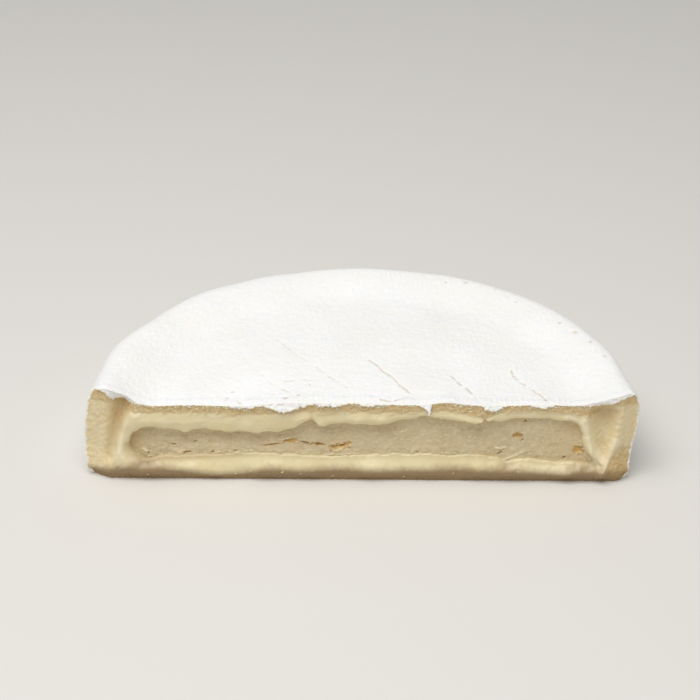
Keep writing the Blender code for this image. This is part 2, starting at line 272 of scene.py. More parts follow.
# Slits and holes in the heart: x, z, length, height, slope
HOLES = (
    (-0.0252, 0.0143, 0.0054, 0.0015, radians(12)),
    (-0.0155, 0.0132, 0.0052, 0.0012, radians(0)),
    (-0.0076, 0.0127, 0.0088, 0.0022, radians(13)),
    (-0.0315, 0.0131, 0.0072, 0.0007, radians(8)),
    (-0.0198, 0.0136, 0.0044, 0.0007, radians(-14)),
    (0.0536, 0.0174, 0.0038, 0.0019, radians(-4)),
    (0.0551, 0.0158, 0.0010, 0.0008, radians(0)),
    (0.0747, 0.0117, 0.0044, 0.0034, radians(4)),
    (0.0699, 0.0088, 0.0012, 0.0010, radians(0)),
    (-0.0580, 0.0140, 0.0010, 0.0009, radians(0)),
    (-0.0610, 0.0100, 0.0034, 0.0009, radians(5)),
    (-0.0520, 0.0104, 0.0014, 0.0006, radians(0)),
    (-0.0655, 0.0128, 0.0016, 0.0006, radians(10)),
    (-0.0742, 0.0098, 0.0012, 0.0007, radians(0)),
    (-0.0440, 0.0105, 0.0010, 0.0005, radians(0)),
    (0.0100, 0.0106, 0.0010, 0.0005, radians(0)),
    (0.0190, 0.0108, 0.0009, 0.0005, radians(0)),
    (0.0475, 0.0106, 0.0020, 0.0007, radians(8)),
    (0.0560, 0.0235, 0.0010, 0.0006, radians(0)),
)
HOLE_DEPTH = 0.0011
HOLE_WAVE = 0.22
HOLE_RIPPLE = 0.16

# Creases that the draining rack left on the rind: ends as (x, y) from the axis, and strength
CREASES = (
    (Vector((-0.0005, 0.0331)), Vector((0.0196, 0.0007)), 0.8),
    (Vector((0.0297, 0.0205)), Vector((0.0401, 0.0022)), 0.9),
    (Vector((0.0513, 0.0269)), Vector((0.0530, 0.0188)), 0.6),
    (Vector((0.0530, 0.0188)), Vector((0.0568, 0.0116)), 0.8),
    (Vector((0.0568, 0.0116)), Vector((0.0647, 0.0006)), 0.65),
    (Vector((-0.0375, 0.0510)), Vector((-0.0034, 0.0062)), 0.5),
    (Vector((-0.0506, 0.0395)), Vector((-0.0250, 0.0034)), 0.4),
    (Vector((0.0059, 0.0025)), Vector((0.0110, 0.0019)), 1.0),
    (Vector((0.0110, 0.0019)), Vector((0.0169, 0.0039)), 1.0),
    (Vector((-0.0285, 0.0138)), Vector((-0.0225, 0.0155)), 0.7),
    (Vector((-0.0225, 0.0155)), Vector((-0.0165, 0.0148)), 0.5),
    (Vector((-0.0280, 0.0090)), Vector((-0.0240, 0.0062)), 0.6),
    (Vector((-0.0440, 0.0040)), Vector((-0.0410, 0.0010)), 0.5),
    (Vector((0.0120, 0.0600)), Vector((0.0460, 0.0120)), 0.25),
    (Vector((-0.0700, 0.0330)), Vector((-0.0470, 0.0030)), 0.2),
)
CREASE_WIDTH = 0.00038
CREASE_DEPTH = 0.00040
CREASE_BEND = 0.0005
CREASE_TAPERS = 6
GAP_LEVEL = 1.2
GAP_SWING = 1.5

# Small bare spots on the rind: place from the axis and size
SPOTS = (
    (Vector((0.0530, 0.0188)), 0.0009), (Vector((0.0300, 0.0800)), 0.0010),
    (Vector((0.0375, 0.0786)), 0.0012), (Vector((0.0485, 0.0742)), 0.0010),
    (Vector((0.0560, 0.0660)), 0.0008), (Vector((0.0710, 0.0500)), 0.0013),
    (Vector((0.0760, 0.0430)), 0.0016), (Vector((0.0806, 0.0360)), 0.0013),
    (Vector((0.0850, 0.0260)), 0.0011), (Vector((0.0880, 0.0150)), 0.0009),
    (Vector((-0.0060, 0.0090)), 0.0008), (Vector((0.0030, 0.0040)), 0.0008),
    (Vector((-0.0266, 0.0030)), 0.0011), (Vector((-0.0219, 0.0044)), 0.0012),
    (Vector((-0.0185, 0.0122)), 0.0010), (Vector((-0.0470, 0.0040)), 0.0011),
    (Vector((-0.0450, 0.0080)), 0.0009), (Vector((-0.0310, 0.0055)), 0.0009),
)
SPOT_STRENGTH = 0.8
SPOT_CORE = 0.6

# The ribs that the draining mat left, and the fuzz of the mould
MAT_PITCH = 0.0018
MAT_ROW = 0.0068
MAT_HEIGHT = 0.00010
FUZZ_HEIGHT = 0.00010

# Pale smears of cream drawn across the heart by the knife: ends and width
SMEARS = (
    (Vector((0.0485, 0.0074)), Vector((0.0562, 0.0113)), 0.00050),
    (Vector((0.0462, 0.0124)), Vector((0.0497, 0.0128)), 0.00045),
    (Vector((0.0130, 0.0187)), Vector((0.0160, 0.0196)), 0.00035),
    (Vector((-0.0760, 0.0110)), Vector((-0.0735, 0.0095)), 0.00045),
    (Vector((-0.0108, 0.0110)), Vector((-0.0036, 0.0129)), 0.00022),
    (Vector((-0.0130, 0.0096)), Vector((0.0010, 0.0100)), 0.00025),
    (Vector((-0.0290, 0.0150)), Vector((-0.0230, 0.0156)), 0.00020),
)
SMEAR_HEIGHT = 0.00045
SMEAR_WAVE = 0.0003
SMEAR_THINS = 0.5

# Mesh steps
CUT_COLUMNS = 520
CUT_ROWS = 92
WRAP_STEPS = (
    0.0002, 0.0005, 0.0009, 0.0013, 0.0017, 0.0021, 0.0025, 0.0029, 0.0033, 0.0038, 0.0044, 0.0051,
    0.0059, 0.0068, 0.0080,
)
RIND_COLUMNS = 290
RIND_ROWS = 112
RIND_LEVELS = 28
ROW_SPREAD = 0.45
RIND_FRONT = 0.0026
RIND_FRONT_RECESS = 0.0080
RECESS_START = 0.0050
SHARP_ANGLE = radians(60)
HEART_COLUMNS = 440
HEART_ROWS = 46
HEART_SLICES = 12
WRAP_PROUD = 0.00005
WRAP_TUCK = 0.0004
TUCK_START = 0.0034
TUCK_END = 0.0078
TUCK_RAG = 0.0014

# How the bloom thickens from the cut's edge inwards, and how wide the rind's hem is at both ends
BLOOM_BLEND = 0.0020
BLOOM_START = 0.62
BLOOM_GROWS = 0.0026
HEM_WIDTH = 0.0006
HEM_RAG = 0.0005

# Crumbly noise: its strength, roughness, step between sizes and number of sizes
CRUMBLE_GAIN = 1.4
CRUMBLE_SIZES = (0.7, 2.1, 3)

# Noise patterns: pitch, and a seed that makes each one different
SIDE_LUMPS = (0.021, 3.1)
TOP_LUMPS = (0.021, 8.4)
CREASE_BENDS = ((0.006, 3.9), (0.006, 7.1))
CREASE_GAPS = (0.0035, 0.6)
FUZZ = (0.0016, 2.7)
MAT_PATCHES = (0.024, 1.2)
LIP_RAGS = (0.0032, 4.1)
LIP_FRINGES = (0.0008, 2.2)
HEM_RAGS = (0.0028, 1.9)
TUCK_RAGS = (0.0060, 5.5)
CRUST_RAGS = (0.0040, 6.3)
CREAM_WAVES = (0.0045, 1.7)
CREAM_RIPPLES = (0.0016, 9.2)
SWELL_WAVES = (0.011, 5.1)
SWELL_RIPPLES = (0.004, 2.8)
WALL_CRUMBS = (0.0013, 5.7)
HEART_GRAIN = (0.0018, 7.7)
HEART_WAVES = (0.009, 2.3)
HOLE_WAVES = (0.0016, 3.3)
HOLE_RIPPLES = (0.0007, 6.1)
SMEAR_WAVES = (0.002, 4.4)

# Small loose bits: how far they tilt, in radians, how flat and lumpy they are, and where they lie
BIT_TILT = 0.6
BIT_THICKNESS = 0.7
BIT_LUMP = 0.35
BIT_LUMPS = 3
BIT_SHIFT = 9000
WHITE_REACH = 0.0010
TAN_REACH = 0.0030
LIP_BITS_END = 0.99
LIP_BITS_LEAN = 1.5
FOOT_BITS_START = 0.088
FOOT_BITS_RUN = 0.176
FOOT_BITS_LEAN = 0.6
FOOT_BITS_UP = (0.0016, 0.0052)
CURD_BITS_ACROSS = (-0.077, 0.072)
CURD_BITS_UP = (0.05, 0.9)
SEAM_BITS_START = 0.078
SEAM_BITS_RUN = 0.148
SEAM_BITS_LEAN = 1.5
SEAM_BITS_SPREAD = 0.0004

# The camera, fitted to the outline: the wheel's axis meets the floor at this pixel
PHOTO_SIZE = 700
AXIS_PIXEL = (362.4, 477.7)
FOCAL_PIXELS = 2175.0
CAMERA_DISTANCE = 0.760
CAMERA_HEIGHT_ANGLE = radians(30.9)
CAMERA_TURN = radians(0.7)
SENSOR_WIDTH = 36.0


def clamp(value):
    return min(max(value, 0.0), 1.0)


def ease(value):
    """0 below 0, 1 above 1, and a smooth step between them."""
    value = clamp(value)
    return value * value * (3 - 2 * value)


def bell(distance, width):
    return exp(-((distance / width) ** 2))


def line_height(line, x):
    """Height of a line at x: a smooth curve through its points, level past its ends."""
    if x <= line[0][0]:
        return line[0][1]
    if x >= line[-1][0]:
        return line[-1][1]
    end = next(i for i, point in enumerate(line) if point[0] >= x)
    (x0, z0), (x1, z1) = line[end - 1], line[end]
    before = line[max(end - 2, 0)]
    after = line[min(end + 1, len(line) - 1)]
    slope_0 = (z1 - before[1]) / (x1 - before[0])
    slope_1 = (after[1] - z0) / (after[0] - x0)
    span = x1 - x0
    t = (x - x0) / span
    rise = z0 * (2 * t**3 - 3 * t**2 + 1) + z1 * (3 * t**2 - 2 * t**3)
    return rise + span * (slope_0 * (t**3 - 2 * t**2 + t) + slope_1 * (t**3 - t**2))


def lump(x, y, z, pitch, seed):
    """Smooth unevenness between about -1 and 1."""
    return 2 * noise.noise(Vector((x / pitch + seed, y / pitch, z / pitch)))


def crumble(x, y, z, pitch, seed):
    """Unevenness of three sizes between about -1 and 1."""
    point = Vector((x / pitch + seed, y / pitch, z / pitch))
    return CRUMBLE_GAIN * noise.fractal(point, *CRUMBLE_SIZES)


def from_segment(point, start, end):
    """How far along a segment a point lies, from 0 to 1, and its distance from it."""
    run = end - start
    share = clamp((point - start).dot(run) / run.length_squared)
    return share, (point - start - run * share).length


def dished_height(radius):
    rise = ease((radius - DISH_START) / (RIM_RADIUS - SHOULDER_RADIUS - DISH_START))
    return RIM_HEIGHT - DISH_DEPTH * (1 - rise)


def rim_section(share):
    """Radius and height of the rim's outline, from the foot's inner end, 0, to the shoulder's, 1."""
    foot = FOOT_RADIUS * pi / 2
    shoulder = SHOULDER_RADIUS * pi / 2
    side = RIM_HEIGHT - FOOT_RADIUS - SHOULDER_RADIUS
    along = share * (foot + side + shoulder)
    if along < foot:
        turn = along / FOOT_RADIUS
        return RIM_RADIUS - FOOT_RADIUS * (1 - sin(turn)), FOOT_RADIUS * (1 - cos(turn))
    if along < foot + side:
        up = (along - foot) / side
        return RIM_RADIUS + SIDE_SWELL * sin(pi * up), FOOT_RADIUS + side * up
    turn = (along - foot - side) / SHOULDER_RADIUS
    inner = RIM_RADIUS - SHOULDER_RADIUS
    return inner + SHOULDER_RADIUS * cos(turn), RIM_HEIGHT + SHOULDER_RADIUS * (sin(turn) - 1)


def settled(point):
    """A point of the plain wheel on the real one: lobed, leaning, lumpy and eared at the cut."""
    angle = atan2(point.y, point.x)
    radius = hypot(point.x, point.y)
    share = radius / RIM_RADIUS
    lobes = sum(size * cos(count * angle) for count, size in RIM_LOBES)
    up = point.z / RIM_HEIGHT
    outward = share + share**2 * lobes / RIM_RADIUS
    if radius > 0:
        outward += share * ease(up / LUMP_START) * LUMP_HEIGHT * lump(*point, *SIDE_LUMPS) / RIM_RADIUS
        outward /= share
    x = point.x * outward - LEAN * (1 - up)
    y = point.y * outward
    z = point.z + up * TOP_LUMP_SHARE * LUMP_HEIGHT * lump(*point, *TOP_LUMPS)
    for place, rise, flare in EARS:
        near = bell(x - place, EAR_WIDTH) * bell(y, EAR_REACH)
        x += up * near * flare
        z += up * near * rise
    for place, rise, width in SAGS:
        z += up * rise * bell(x - place, width) * bell(y, SAG_REACH)
    return Vector((x, y, z if point.z > 0 else 0.0))


def wheel_place(across, back, up):
    """Where a point of the half wheel lies: across -1 to 1, back from the cut 0 to 1, up 0 to 1."""
    disc_x = across * sqrt(1 - back**2 / 2)
    disc_y = back * sqrt(1 - across**2 / 2)
    share = hypot(disc_x, disc_y)
    radius, height = rim_section(up)
    top = dished_height(share * (RIM_RADIUS - SHOULDER_RADIUS))
    return settled(Vector((disc_x * radius, disc_y * radius, height / RIM_HEIGHT * top)))


def crease_place(x, y):
    """How strongly a rack crease or a bare spot marks a point of the rind, from 0 to 1."""
    here = Vector((x, y))
    strongest = 0.0
    bend = Vector([lump(x, y, 0, *bends) for bends in CREASE_BENDS]) * CREASE_BEND
    for start, end, strength in CREASES:
        share, distance = from_segment(here + bend, start, end)
        if distance < 4 * CREASE_WIDTH:
            tapers = ease(CREASE_TAPERS * share) * ease(CREASE_TAPERS * (1 - share))
            fade = tapers * ease(GAP_LEVEL + GAP_SWING * lump(x, y, 0, *CREASE_GAPS))
            strongest = max(strongest, strength * fade * bell(distance, CREASE_WIDTH))
    for place, size in SPOTS:
        distance = (here + bend - place).length
        if distance < 2 * size:
            strongest = max(strongest, SPOT_STRENGTH * bell(distance, size * SPOT_CORE))
    return strongest


def rind_relief(place, up_facing):
    """How far the rind stands proud: mould tufts everywhere, creases and mat ribs on the flats."""
    proud = FUZZ_HEIGHT * crumble(*place, *FUZZ)
    if abs(up_facing) > 0.5:
        proud -= CREASE_DEPTH * crease_place(place.x, place.y)
        row = place.y / MAT_ROW
        shift = 0.5 * (int(row) % 2)
        rib = sin(2 * pi * (place.x / MAT_PITCH + shift)) * sin(pi * (row % 1.0))
        proud += MAT_HEIGHT * rib * ease(lump(*place, *MAT_PATCHES) + 0.5)
    return proud


def upper_share(z):
    """0 beside the lower half of the heart, 1 beside its upper half."""
    return ease(0.5 + (z - HEART_MIDDLE) / HEART_BLEND)


def heart_edge(x, z):
    """How far inside the heart's outline a point of the cut lies, and how wide the cream is there."""
    high = line_height(HEART_TOP, x)
    low = line_height(HEART_BOTTOM, x)
    beside = min(x + HEART_RADIUS, line_height(HEART_END, z) - x)
    low_edge, high_edge = LEFT_EDGES
    corner = low_edge + (high_edge - low_edge) * ease((z - LEFT_EDGE_START) / LEFT_EDGE_RISE)
    corner = corner if x < 0 else RIGHT_EDGE
    gap_x = max(corner - beside, 0.0)
    gap_z = max(corner - min(high - z, z - low), 0.0)
    band = low - CREAM_FOOT
    band += (line_height(CREAM_TOP, x) - high - band) * upper_share(z)
    side = CREAM_LEFT if x < 0 else CREAM_RIGHT
    share = gap_x**2 / max(gap_x**2 + gap_z**2, 1e-9)
    return corner - hypot(gap_x, gap_z), side * share + band * (1 - share)


def fold_place(x, z):
    """How deep in the right end's fold a point lies: 1 in its middle, 0 outside it."""
    drop = (FOLD_TOP.y - z) / (FOLD_TOP.y - FOLD_TIP.y)
    if drop >= 1:
        return 0.0
    width = FOLD_WIDTH * sqrt(1 - max(drop, 0.0))
    across = (x - FOLD_TOP.x - (FOLD_TIP.x - FOLD_TOP.x) * drop) / width
    rim = ease((FOLD_TOP.y + FOLD_WIDTH / 2 - z) / FOLD_WIDTH)
    section = max(1 - across**2, 0.0)
    section = section if across < 0 else section**FOLD_SOFTENS
    return section * rim * (1 - FOLD_SHALLOWS * max(drop, 0.0))


def groove_place(x, z):
    """How deep in the left end's groove a point lies: 1 in its middle."""
    share, distance = from_segment(Vector((x, z)), GROOVE_TOP, GROOVE_FOOT)
    width = GROOVE_WIDTH * (1 - GROOVE_NARROWS * share)
    return bell(distance, width) * (1 - GROOVE_SHALLOWS * share)


def corner_share(x, z, reach):
    """How near the rough lower right corner a point of the cut lies, from 0 to 1."""
    return bell((Vector((x, z)) - ROUGH_CORNER).length, reach)


def ridge_height(x, z):
    """How far the smooth ridges of cream at both ends stand up at a point of the cut."""
    tallest = 0.0
    for start, end, height in RIDGES:
        share, distance = from_segment(Vector((x, z)), start, end)
        tallest = max(tallest, height * bell(distance, RIDGE_WIDTH))
    return tallest


def lip_height(x):
    """Height of the white rind's ragged lower edge at x."""
    rag = LIP_RAG * crumble(x, 0, 0, *LIP_RAGS) + LIP_FRINGE * lump(x, 0, 0, *LIP_FRINGES)
    return line_height(RIND_EDGE, x) + rag


def lip_gap(x, z, below_top):
    """How far below the rind's ragged edge a point of the cut lies; negative on the rind."""
    return min(lip_height(x) - z, below_top - LIP_LEAST)


def cut_relief(x, z, below_top):
    """How far the cut side of the ripened paste lies behind the knife's plane."""
    inside, width = heart_edge(x, z)
    inside += CREAM_WOBBLE * (lump(x, 0, z, *CREAM_WAVES) + RIPPLE_SHARE * lump(x, 0, z, *CREAM_RIPPLES))
    away = -inside / width
    upper = upper_share(z)
    crest = LOWER_CREST + (UPPER_CREST - LOWER_CREST) * upper
    swell = CREAM_SWELL * (1 + (line_height(BAND_SWELL, x) - 1) * upper)
    waves = SWELL_WAVE * lump(x, 0, z, *SWELL_WAVES)
    swell *= 1 + waves + SWELL_RIPPLE * lump(x, 0, z, *SWELL_RIPPLES)
    if away < 0:
        behind = POCKET_DEPTH * ease(inside / POCKET_WALL)
    elif away < crest:
        rise = away / crest
        behind = -swell * (sqrt(1 - (1 - rise) ** 2) * upper + ease(rise) * (1 - upper))
    else:
        behind = -swell * (1 - ease((away - crest) / (BAND_END - crest)))
    behind -= ridge_height(x, z)
    rough = 1 + ROUGH_GAIN * corner_share(x, z, ROUGH_REACH)
    crumbs = CRUMB_HEIGHT * rough * crumble(x, z, 0, *WALL_CRUMBS)
    behind += (WALL_RECESS + crumbs) * ease((away - WALL_START) * WALL_RISE)
    behind -= FOOT_BOW * (1 - ease(z / FOOT_BOW_HEIGHT))
    behind += FOOT_TUCK * (1 - ease(z / FOOT_TUCK_HEIGHT))
    behind += CORNER_RECESS * ease((abs(x) - CORNER_START) / CORNER_WIDTH)
    behind += GROOVE_DEPTH * groove_place(x, z)
    behind += FOLD_DEPTH * fold_place(x, z)
    for place, width, deep in NOTCHES:
        if NOTCH_START < away < 1:
            behind += upper * deep * bell(x - place, width) * ease(NOTCH_FADE - away)
    on_lip = 1 - ease(lip_gap(x, z, below_top) / LIP_BLEND + 0.5)
    behind -= (LIP_STANDS + LIP_SLOPE * below_top) * on_lip
    return behind


def new_object(name, mesh):
    thing = bpy.data.objects.new(name, mesh)
    bpy.context.scene.collection.objects.link(thing)
    return thing


def mesh_from(bm, name):
    bmesh.ops.recalc_face_normals(bm, faces=bm.faces)
    mesh = bpy.data.meshes.new(name)
    bm.to_mesh(mesh)
    bm.free()
    mesh.shade_smooth()
    mesh.set_sharp_from_angle(angle=SHARP_ANGLE)
    return mesh


def same(value, other):
    return abs(value - other) < 1e-5


def new_verts(made):
    return [item for item in made["geom"] if isinstance(item, bmesh.types.BMVert)]


def upright_grid(columns, rows):
    """A grid in the plane of the cut: x from -1 to 1 and z from 0 to 1."""
    bm = bmesh.new()
    bmesh.ops.create_grid(bm, x_segments=columns, y_segments=rows, size=1)
    for vertex in bm.verts:
        vertex.co = (vertex.co.x, 0, (vertex.co.y + 1) / 2)
    return bm


def note(masks, values):
    """Add one vertex's values to lists of masks."""
    for name, value in values.items():
        masks.setdefault(name, []).append(clamp(value))


def add_masks(mesh, masks):
    for name, values in masks.items():
        mask = mesh.attributes.new(name, "FLOAT", "POINT")
        mask.data.foreach_set("value", values)
    return mesh


def shade(value, share, change, start, length):
    """A share that changes smoothly while the value falls."""
    return share + change * ease((start - value) / length)


def paste_masks(x, z):
    """How strongly each feature colours the paste at a point of the cut, from 0 to 1; painted shade and
    painted highlight among them.
    """
    inside, width = heart_edge(x, z)
    crust_line = line_height(CREAM_TOP, x) + CRUST_RAG * crumble(x, z, 0, *CRUST_RAGS)
    crust_line += CRUST_DROP * ease((abs(x) - CRUST_DROP_START) / CRUST_DROP_WIDTH)
    crust = max((z - crust_line) / CRUST_BLEND, (CRUST_FOOT - z) / CRUST_FOOT_BLEND) + 0.5
    fold_shade = shade(z, *FOLD_SHADES) * shade(z, *FOLD_TOP_SHADES)
    corner = ROUGH_SHADE * corner_share(x, z, ROUGH_SHADE_REACH)
    seam = bell(max(-inside, 0.0), SEAM_WIDTH) if z < HEART_MIDDLE else 0.0
    return {
        "crust": max(crust, corner_share(x, z, ROUGH_REACH)),
        "side": ease((-inside / width - SIDE_START) * SIDE_RISE),
        # Painted shade in the left groove, the right fold and the rough corner
        "deep": max(groove_place(x, z), fold_place(x, z) * fold_shade, corner),
        # Painted highlight along the cream ridges
        "ridge_highlight": ridge_height(x, z) / RIDGE_HIGHLIGHT_FULL,
        "seam": seam * shade(x, *SEAM_SHADES),
        # The dark foot: the rind's crust at the bottom, with painted shade
        "foot": 0.5 + (line_height(FOOT_LINE, x) - z) / FOOT_BLEND,
    }


def make_cut_side():
    """The cut side of the paste with the rind's edges round it: a dense front on a closed slab."""
    bm = upright_grid(CUT_COLUMNS, CUT_ROWS)
    ring = [edge for edge in bm.edges if edge.is_boundary]
    reach = 0.0
    for step in WRAP_STEPS:
        made = bmesh.ops.extrude_edge_only(bm, edges=ring)
        bmesh.ops.translate(bm, vec=(0, step - reach, 0), verts=new_verts(made))
        ring = [item for item in made["geom"] if isinstance(item, bmesh.types.BMEdge)]
        ring = [edge for edge in ring if edge.is_boundary]
        reach = step
    bmesh.ops.triangulate(bm, faces=bmesh.ops.contextual_create(bm, geom=ring)["faces"])
    masks = {}
    for vertex in bm.verts:
        across, depth, up = vertex.co
        place = wheel_place(across, depth / RIM_RADIUS, up)
        top = wheel_place(across, depth / RIM_RADIUS, 1.0).z
        below_top = min(top - place.z, TOP_REACH)
        relief = cut_relief(place.x, place.z, below_top)
        values = paste_masks(place.x, place.z)
        mark = 0.0
        if same(depth, 0):
            edge_gap = (1 - abs(across)) * RIM_RADIUS
            hem = HEM_WIDTH + HEM_RAG * crumble(0, 0, place.z, *HEM_RAGS)
            white = 0.5 + max(-lip_gap(place.x, place.z, below_top), hem - edge_gap) / BLOOM_BLEND
        else:
            white = BLOOM_START + depth / BLOOM_GROWS
            relief *= 1 - depth / reach
            start = TUCK_START + TUCK_RAG * crumble(*place, *TUCK_RAGS)
            lift = WRAP_PROUD - WRAP_TUCK * ease((depth - start) / (TUCK_END - start))
            outwards = Vector((across if same(abs(across), 1) else 0, 0, same(up, 1) - same(up, 0)))
            if outwards.length > 0:
                mark = crease_place(place.x, place.y) * abs(outwards.z)
                place += outwards.normalized() * (lift + rind_relief(place, outwards.z))
        vertex.co = place + Vector((0, relief, 0)) + AXIS_PLACE
        values["bloom"] = white
        values["mark"] = mark
        note(masks, values)
    return new_object("ripe_paste", add_masks(mesh_from(bm, "ripe_paste"), masks))


def make_rind():
    """The white rind all round: one closed body, from just behind the cut to the back of the rim."""
    bm = bmesh.new()
    bmesh.ops.create_grid(bm, x_segments=RIND_COLUMNS, y_segments=RIND_ROWS, size=1)
    made = bmesh.ops.extrude_face_region(bm, geom=list(bm.faces), use_keep_orig=True)
    bmesh.ops.translate(bm, vec=(0, 0, 1), verts=new_verts(made))
    walls = [edge for edge in bm.edges if abs(edge.verts[0].co.z - edge.verts[1].co.z) > 0.5]
    bmesh.ops.subdivide_edges(bm, edges=walls, cuts=RIND_LEVELS - 1, use_grid_fill=True)
    front = RIND_FRONT / RIM_RADIUS
    masks = {}
    for vertex in bm.verts:
        across, row, up = vertex.co
        share = (row + 1) / 2
        back = front + (1 - front) * (ROW_SPREAD * share + (1 - ROW_SPREAD) * share**2)
        place = wheel_place(across, back, up)
        outwards = Vector((0, 0, 0))
        if same(abs(across), 1) or same(row, 1):
            outwards += Vector((place.x, place.y, 0)).normalized()
        outwards.z = same(up, 1) - same(up, 0)
        note(masks, {"mark": crease_place(place.x, place.y) * abs(outwards.z)})
        if outwards.length > 0:
            outwards.normalize()
            place += outwards * rind_relief(place, outwards.z)
        else:
            below_top = wheel_place(across, back, 1.0).z - place.z
            edge_gap = min(below_top, place.z, (1 - abs(across)) * RIM_RADIUS)
            place.y += RIND_FRONT_RECESS * ease(edge_gap / RECESS_START)
        vertex.co = place + AXIS_PLACE
    return new_object("bloomy_rind", add_masks(mesh_from(bm, "bloomy_rind"), masks))


def heart_section(up):
    """Radius and height of the heart's rounded section, for up from 0 to 1."""
    thick = HEART_HIGH - HEART_LOW
    height = HEART_LOW + thick * up
    inset = max(HEART_LOW + HIDDEN_EDGE - height, height - (HEART_HIGH - HIDDEN_EDGE), 0.0)
    radius = HEART_RADIUS - HIDDEN_EDGE + sqrt(max(HIDDEN_EDGE**2 - inset**2, 0.0))
    return radius, height


def heart_place(across, back, up):
    """Where a point of the heart lies in the wheel's frame."""
    disc_x = across * sqrt(1 - back**2 / 2)
    disc_y = back * sqrt(1 - across**2 / 2)
    radius, height = heart_section(up)
    x = disc_x * (radius + HEART_GROWN)
    y = disc_y * (radius + HEART_GROWN)
    near = bell(y, LINES_FADE)
    share = (height - HEART_LOW) / (HEART_HIGH - HEART_LOW)
    slant = HEART_SLANT * share * ease((x - SLANT_START) / (HEART_RADIUS - SLANT_START))
    x -= slant * near
    low = line_height(HEART_BOTTOM, x) - HEART_GROWN
    high = line_height(HEART_TOP, x) + HEART_GROWN
    shown = low + (high - low) * share
    return Vector((x, y, height + (shown - height) * near))


def hole_place(x, z):
    """How deep in a slit or hole a point of the heart's face lies: 1 in its middle, 0 outside."""
    deepest = 0.0
    for centre_x, centre_z, length, height, slope in HOLES:
        if abs(x - centre_x) > length or abs(z - centre_z) > length:
            continue
        along = (x - centre_x) * cos(slope) + (z - centre_z) * sin(slope)
        over = (z - centre_z) * cos(slope) - (x - centre_x) * sin(slope)
        over += HOLE_WAVE * height * lump(x, z, 0, *HOLE_WAVES)
        over += HOLE_RIPPLE * height * lump(x, z, 0, *HOLE_RIPPLES)
        apart = (2 * along / length) ** 2 + (2 * over / height) ** 2
        deepest = max(deepest, 1 - apart)
    return deepest


def smear_place(x, z):
    """How thickly a smear of cream covers a point of the heart's face, from 0 to 1."""
    here = Vector((x, z + SMEAR_WAVE * lump(x, z, 0, *SMEAR_WAVES)))
    thickest = 0.0
    for start, end, width in SMEARS:
        share, distance = from_segment(here, start, end)
        thickest = max(thickest, bell(distance, width) * (1 - SMEAR_THINS * share))
    return thickest


def heart_share(x, z):
    """How far up the heart's face a point of the cut lies, from 0 to 1."""
    low = line_height(HEART_BOTTOM, x)
    return (z - low) / (line_height(HEART_TOP, x) - low)


def heart_recess(x, z):
    """How far behind the knife's plane the heart's face lies."""
    rough = 1 + PATCH_GAIN * bell(x - PATCH_X, PATCH_WIDTH) * bell(z - PATCH_Z, PATCH_HEIGHT)
    hollow = HEART_HOLLOW * (1 - HOLLOW_FADE * ease((x - HOLLOW_START) / HOLLOW_WIDTH))
    behind = HEART_RECESS + hollow * ease(heart_share(x, z))
    behind += CRESCENT_DEPTH * bell(x + HEART_RADIUS, CRESCENT_WIDTH)
    behind += GRAIN_HEIGHT * rough * crumble(x, z, 0, *HEART_GRAIN)
    behind += HEART_WAVE * lump(x, z, 0, *HEART_WAVES)
    return behind + HOLE_DEPTH * sqrt(hole_place(x, z)) - SMEAR_HEIGHT * smear_place(x, z)


def make_heart():
    """The firm chalky heart: a rounded half disc whose cut face is sunken, pitted and slit."""
    bm = upright_grid(HEART_COLUMNS, HEART_ROWS)
    made = bmesh.ops.extrude_face_region(bm, geom=list(bm.faces), use_keep_orig=True)
    bmesh.ops.translate(bm, vec=(0, 1, 0), verts=new_verts(made))
    walls = [edge for edge in bm.edges if abs(edge.verts[0].co.y - edge.verts[1].co.y) > 0.5]
    bmesh.ops.subdivide_edges(bm, edges=walls, cuts=HEART_SLICES - 1, use_grid_fill=True)
    masks = {}
    for vertex in bm.verts:
        across, back, up = vertex.co
        place = heart_place(across, back, up)
        x, z = place.x, place.z
        if same(back, 0):
            place.y += heart_recess(x, z)
        else:
            place.y += HEART_RECESS
        vertex.co = place + AXIS_PLACE
        # The recessed crescent at the left end gets painted shade
        crescent_shade = bell(x + HEART_RADIUS, CRESCENT_WIDTH)
        note(masks, {
            "pit": sqrt(hole_place(x, z)),
            "rim": max(1 - ease(heart_share(x, z) / RIM_SHARE), ease((x - RIM_END) / RIM_END_WIDTH)),
            "smear": smear_place(x, z),
            "ends_ripe_and_shaded": max(crescent_shade, RIPE_SHARE * ease((x - RIPE_START) / RIPE_WIDTH)),
        })
    return new_object("chalky_heart", add_masks(mesh_from(bm, "chalky_heart"), masks))


def scatter(name, seed, count, spot, sizes, stretch):
    """Many small rounded bits as one mesh, each set on the surface at a spot drawn at random."""
    rng = Random(seed)
    bm = bmesh.new()
    for _ in range(count):
        place = spot(rng) + AXIS_PLACE
        size = rng.uniform(*sizes)
        long = size * rng.uniform(*stretch)
        turn = Matrix.Rotation(rng.uniform(-BIT_TILT, BIT_TILT), 4, "Y")
        form = turn @ Matrix.Diagonal((long, size * BIT_THICKNESS, size, 1))
        made = bmesh.ops.create_icosphere(bm, subdivisions=2, radius=0.5)
        for vertex in made["verts"]:
            vertex.co *= 1 + BIT_LUMP * noise.noise(vertex.co * BIT_LUMPS + place * BIT_SHIFT)
            vertex.co = form @ vertex.co + place
    return new_object(name, mesh_from(bm, name))


def lip_spot(rng, reach):
    """A spot on the cut, up to a reach below the rind's ragged edge."""
    top = wheel_place(rng.uniform(-LIP_BITS_END, LIP_BITS_END), 0, 1)
    z = min(lip_height(top.x), top.z) - reach * rng.random() ** LIP_BITS_LEAN
    return Vector((top.x, cut_relief(top.x, z, top.z - z), z))


def white_spot(rng):
    return lip_spot(rng, WHITE_REACH)


def tan_spot(rng):
    return lip_spot(rng, TAN_REACH)


